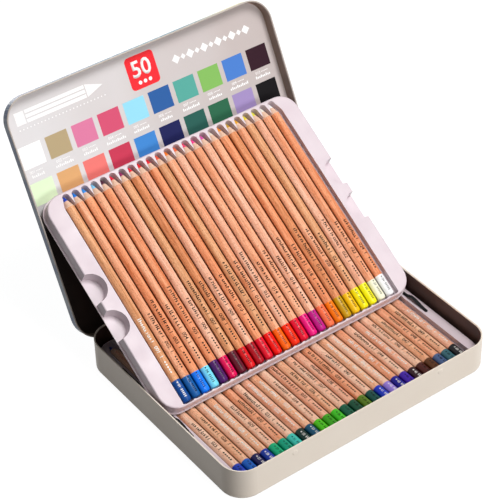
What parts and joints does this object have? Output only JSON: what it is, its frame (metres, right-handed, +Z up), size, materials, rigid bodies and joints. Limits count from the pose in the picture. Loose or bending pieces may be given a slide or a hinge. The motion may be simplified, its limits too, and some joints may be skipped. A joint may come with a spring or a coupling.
{
  "type": "coloured pencil box",
  "caption": "Hinged tin box of coloured pencils, lid open, with a row of pencils in the base and a second tray of pencils propped on it.",
  "frame": {"origin": "on the surface the box stands on, under the middle of the base tin", "axes": "+X to the right along the front edge, +Y to the hinged back, +Z up"},
  "size_m": [0.2356, 0.2806, 0.1859],
  "materials": {
    "tin_enamel": "satin stone-coloured enamel on tinplate",
    "lid_print": "printed and varnished tinplate",
    "hinge_wire": "drawn steel wire",
    "tray_plastic": "matt thermoformed plastic sheet",
    "strap_webbing": "woven black webbing",
    "pencil_wood": "clear-varnished cedar"
  },
  "bodies": {
    "tin": {"base_tin": "tin_enamel", "hinge_pin_left": "hinge_wire", "hinge_pin_right": "hinge_wire", "lift_strap_left": "strap_webbing", "lift_strap_right": "strap_webbing", "lower_tray": "tray_plastic", "pencil_lower_01_blue": "pencil_wood", "pencil_lower_02_mid_blue": "pencil_wood", "pencil_lower_03_navy": "pencil_wood", "pencil_lower_04_royal_blue": "pencil_wood", "pencil_lower_05_emerald": "pencil_wood", "pencil_lower_06_teal_green": "pencil_wood", "pencil_lower_07_turquoise": "pencil_wood", "pencil_lower_08_deep_green": "pencil_wood", "pencil_lower_09_deep_teal": "pencil_wood", "pencil_lower_10_lime": "pencil_wood", "pencil_lower_11_leaf_green": "pencil_wood", "pencil_lower_12_grass_green": "pencil_wood", "pencil_lower_13_forest_green": "pencil_wood", "pencil_lower_14_moss_green": "pencil_wood", "pencil_lower_15_olive": "pencil_wood", "pencil_lower_16_dark_teal": "pencil_wood", "pencil_lower_17_ultramarine": "pencil_wood", "pencil_lower_18_lilac": "pencil_wood", "pencil_lower_19_indigo": "pencil_wood", "pencil_lower_20_purple": "pencil_wood", "pencil_lower_21_umber": "pencil_wood", "pencil_lower_22_red_brown": "pencil_wood", "pencil_lower_23_brown": "pencil_wood", "pencil_lower_24_blue_grey": "pencil_wood", "pencil_lower_25_teal_grey": "pencil_wood", "pencil_lower_26_black": "pencil_wood"},
    "lid": {"lid_tin": "lid_print"},
    "upper_tray": {"upper_tray": "tray_plastic"},
    "upper_pencil_01": {"pencil_upper_01_dark_blue": "pencil_wood"},
    "upper_pencil_02": {"pencil_upper_02_teal_blue": "pencil_wood"},
    "upper_pencil_03": {"pencil_upper_03_bright_blue": "pencil_wood"},
    "upper_pencil_04": {"pencil_upper_04_sky": "pencil_wood"},
    "upper_pencil_05": {"pencil_upper_05_dark_purple": "pencil_wood"},
    "upper_pencil_06": {"pencil_upper_06_crimson": "pencil_wood"},
    "upper_pencil_07": {"pencil_upper_07_maroon": "pencil_wood"},
    "upper_pencil_08": {"pencil_upper_08_scarlet": "pencil_wood"},
    "upper_pencil_09": {"pencil_upper_09_dark_red": "pencil_wood"},
    "upper_pencil_10": {"pencil_upper_10_pink_red": "pencil_wood"},
    "upper_pencil_11": {"pencil_upper_11_red": "pencil_wood"},
    "upper_pencil_12": {"pencil_upper_12_orange": "pencil_wood"},
    "upper_pencil_13": {"pencil_upper_13_orange_red": "pencil_wood"},
    "upper_pencil_14": {"pencil_upper_14_rose_red": "pencil_wood"},
    "upper_pencil_15": {"pencil_upper_15_hot_pink": "pencil_wood"},
    "upper_pencil_16": {"pencil_upper_16_magenta": "pencil_wood"},
    "upper_pencil_17": {"pencil_upper_17_peach": "pencil_wood"},
    "upper_pencil_18": {"pencil_upper_18_bright_orange": "pencil_wood"},
    "upper_pencil_19": {"pencil_upper_19_ochre": "pencil_wood"},
    "upper_pencil_20": {"pencil_upper_20_golden_yellow": "pencil_wood"},
    "upper_pencil_21": {"pencil_upper_21_yellow": "pencil_wood"},
    "upper_pencil_22": {"pencil_upper_22_lemon": "pencil_wood"},
    "upper_pencil_23": {"pencil_upper_23_cream": "pencil_wood"},
    "upper_pencil_24": {"pencil_upper_24_white": "pencil_wood"}
  },
  "joints": [
    {"name": "upper_tray_withdraw", "type": "slide", "parent": "tin", "child": "upper_tray", "axis": [0, -0.9511, 0.309], "range_m": [0, 0.36]},
    {"name": "lid_hinge", "type": "hinge", "parent": "tin", "child": "lid", "pos_m": [0, 0.09358, 0.0174], "axis": [1, 0, 0], "range_deg": [0, 116.3]},
    {"name": "pencil_lift_01", "type": "slide", "parent": "upper_tray", "child": "upper_pencil_01", "axis": [0, -0.5281, 0.8492], "range_m": [0, 0.04]},
    {"name": "pencil_lift_02", "type": "slide", "parent": "upper_tray", "child": "upper_pencil_02", "axis": [0, -0.5281, 0.8492], "range_m": [0, 0.04]},
    {"name": "pencil_lift_03", "type": "slide", "parent": "upper_tray", "child": "upper_pencil_03", "axis": [0, -0.5281, 0.8492], "range_m": [0, 0.04]},
    {"name": "pencil_lift_04", "type": "slide", "parent": "upper_tray", "child": "upper_pencil_04", "axis": [0, -0.5281, 0.8492], "range_m": [0, 0.04]},
    {"name": "pencil_lift_05", "type": "slide", "parent": "upper_tray", "child": "upper_pencil_05", "axis": [0, -0.5281, 0.8492], "range_m": [0, 0.04]},
    {"name": "pencil_lift_06", "type": "slide", "parent": "upper_tray", "child": "upper_pencil_06", "axis": [0, -0.5281, 0.8492], "range_m": [0, 0.04]},
    {"name": "pencil_lift_07", "type": "slide", "parent": "upper_tray", "child": "upper_pencil_07", "axis": [0, -0.5281, 0.8492], "range_m": [0, 0.04]},
    {"name": "pencil_lift_08", "type": "slide", "parent": "upper_tray", "child": "upper_pencil_08", "axis": [0, -0.5281, 0.8492], "range_m": [0, 0.04]},
    {"name": "pencil_lift_09", "type": "slide", "parent": "upper_tray", "child": "upper_pencil_09", "axis": [0, -0.5281, 0.8492], "range_m": [0, 0.04]},
    {"name": "pencil_lift_10", "type": "slide", "parent": "upper_tray", "child": "upper_pencil_10", "axis": [0, -0.5281, 0.8492], "range_m": [0, 0.04]},
    {"name": "pencil_lift_11", "type": "slide", "parent": "upper_tray", "child": "upper_pencil_11", "axis": [0, -0.5281, 0.8492], "range_m": [0, 0.04]},
    {"name": "pencil_lift_12", "type": "slide", "parent": "upper_tray", "child": "upper_pencil_12", "axis": [0, -0.5281, 0.8492], "range_m": [0, 0.04]},
    {"name": "pencil_lift_13", "type": "slide", "parent": "upper_tray", "child": "upper_pencil_13", "axis": [0, -0.5281, 0.8492], "range_m": [0, 0.04]},
    {"name": "pencil_lift_14", "type": "slide", "parent": "upper_tray", "child": "upper_pencil_14", "axis": [0, -0.5281, 0.8492], "range_m": [0, 0.04]},
    {"name": "pencil_lift_15", "type": "slide", "parent": "upper_tray", "child": "upper_pencil_15", "axis": [0, -0.5281, 0.8492], "range_m": [0, 0.04]},
    {"name": "pencil_lift_16", "type": "slide", "parent": "upper_tray", "child": "upper_pencil_16", "axis": [0, -0.5281, 0.8492], "range_m": [0, 0.04]},
    {"name": "pencil_lift_17", "type": "slide", "parent": "upper_tray", "child": "upper_pencil_17", "axis": [0, -0.5281, 0.8492], "range_m": [0, 0.04]},
    {"name": "pencil_lift_18", "type": "slide", "parent": "upper_tray", "child": "upper_pencil_18", "axis": [0, -0.5281, 0.8492], "range_m": [0, 0.04]},
    {"name": "pencil_lift_19", "type": "slide", "parent": "upper_tray", "child": "upper_pencil_19", "axis": [0, -0.5281, 0.8492], "range_m": [0, 0.04]},
    {"name": "pencil_lift_20", "type": "slide", "parent": "upper_tray", "child": "upper_pencil_20", "axis": [0, -0.5281, 0.8492], "range_m": [0, 0.04]},
    {"name": "pencil_lift_21", "type": "slide", "parent": "upper_tray", "child": "upper_pencil_21", "axis": [0, -0.5281, 0.8492], "range_m": [0, 0.04]},
    {"name": "pencil_lift_22", "type": "slide", "parent": "upper_tray", "child": "upper_pencil_22", "axis": [0, -0.5281, 0.8492], "range_m": [0, 0.04]},
    {"name": "pencil_lift_23", "type": "slide", "parent": "upper_tray", "child": "upper_pencil_23", "axis": [0, -0.5281, 0.8492], "range_m": [0, 0.04]},
    {"name": "pencil_lift_24", "type": "slide", "parent": "upper_tray", "child": "upper_pencil_24", "axis": [0, -0.5281, 0.8492], "range_m": [0, 0.04]}
  ],
  "couplings": [
    {"joint": "lid_hinge", "follows": "upper_tray_withdraw", "rad_per_m": 5.6335}
  ]
}
